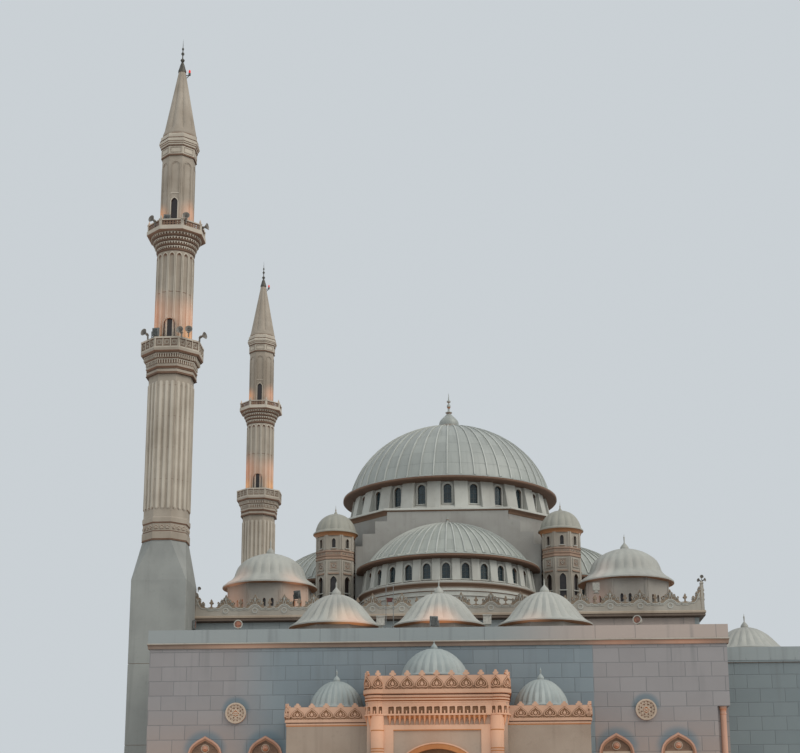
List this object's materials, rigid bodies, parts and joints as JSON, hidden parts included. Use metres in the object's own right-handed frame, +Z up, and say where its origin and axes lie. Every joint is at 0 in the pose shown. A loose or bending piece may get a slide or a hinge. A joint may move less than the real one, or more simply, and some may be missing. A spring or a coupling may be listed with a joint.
{
  "type": "half-size scale model of a domed mosque building",
  "caption": "Domed mosque with slender minarets, half domes, corner domes, porch, portal and side wing, as a hollow half-size model.",
  "frame": {"origin": "on the ground under the crown of the main dome, on the underside of the floor", "axes": "+X to the right along the entrance front, +Y from the entrance front towards the back, +Z up"},
  "size_m": [21.0777, 25.9527, 26.03],
  "materials": {
    "panel_stone": "honed grey stone panels in half bond",
    "carved_stone": "pale carved stone, matt",
    "minaret_stone": "pale beige cast stone, matt, with brown weathering",
    "warm_stone": "warm peach carved stone, matt",
    "dome_covering": "pale grey-green sheet covering with raised ribs",
    "floor_stone": "plain paving"
  },
  "bodies": {
    "root": {"back_half_dome": "dome_covering", "back_half_dome_wall": "carved_stone", "back_left_corner_dome": "dome_covering", "back_left_turret": "carved_stone", "back_right_corner_dome": "dome_covering", "back_right_turret": "carved_stone", "central_block": "carved_stone", "far_minaret_lower_balcony": "minaret_stone", "far_minaret_lower_shaft": "minaret_stone", "far_minaret_middle_shaft": "minaret_stone", "far_minaret_spire": "dome_covering", "far_minaret_upper_balcony": "minaret_stone", "far_minaret_upper_shaft": "minaret_stone", "floor": "floor_stone", "front_half_dome": "dome_covering", "front_half_dome_wall": "carved_stone", "front_left_corner_dome": "dome_covering", "front_left_turret": "carved_stone", "front_right_corner_dome": "dome_covering", "front_right_turret": "carved_stone", "hall_back_wall": "panel_stone", "hall_front_wall": "panel_stone", "hall_left_parapet": "carved_stone", "hall_left_wall": "panel_stone", "hall_parapet": "carved_stone", "hall_right_wall": "panel_stone", "hall_roof": "carved_stone", "left_half_dome": "dome_covering", "left_half_dome_wall": "carved_stone", "main_dome": "dome_covering", "main_drum": "carved_stone", "near_minaret_lower_balcony": "minaret_stone", "near_minaret_lower_shaft": "minaret_stone", "near_minaret_middle_shaft": "minaret_stone", "near_minaret_spire": "dome_covering", "near_minaret_upper_balcony": "minaret_stone", "near_minaret_upper_shaft": "minaret_stone", "porch_front_wall": "panel_stone", "porch_left_dome": "dome_covering", "porch_left_wall": "panel_stone", "porch_middle_dome": "dome_covering", "porch_right_dome": "dome_covering", "porch_right_wall": "panel_stone", "porch_roof": "carved_stone", "portal_crown": "warm_stone", "portal_left_crest": "warm_stone", "portal_left_dome": "dome_covering", "portal_middle_dome": "dome_covering", "portal_right_crest": "warm_stone", "portal_right_dome": "dome_covering", "portal_walls": "warm_stone", "right_half_dome": "dome_covering", "right_half_dome_wall": "carved_stone", "wing_dome_1": "dome_covering", "wing_dome_2": "dome_covering", "wing_roof": "carved_stone", "wing_walls": "panel_stone"}
  },
  "joints": []
}
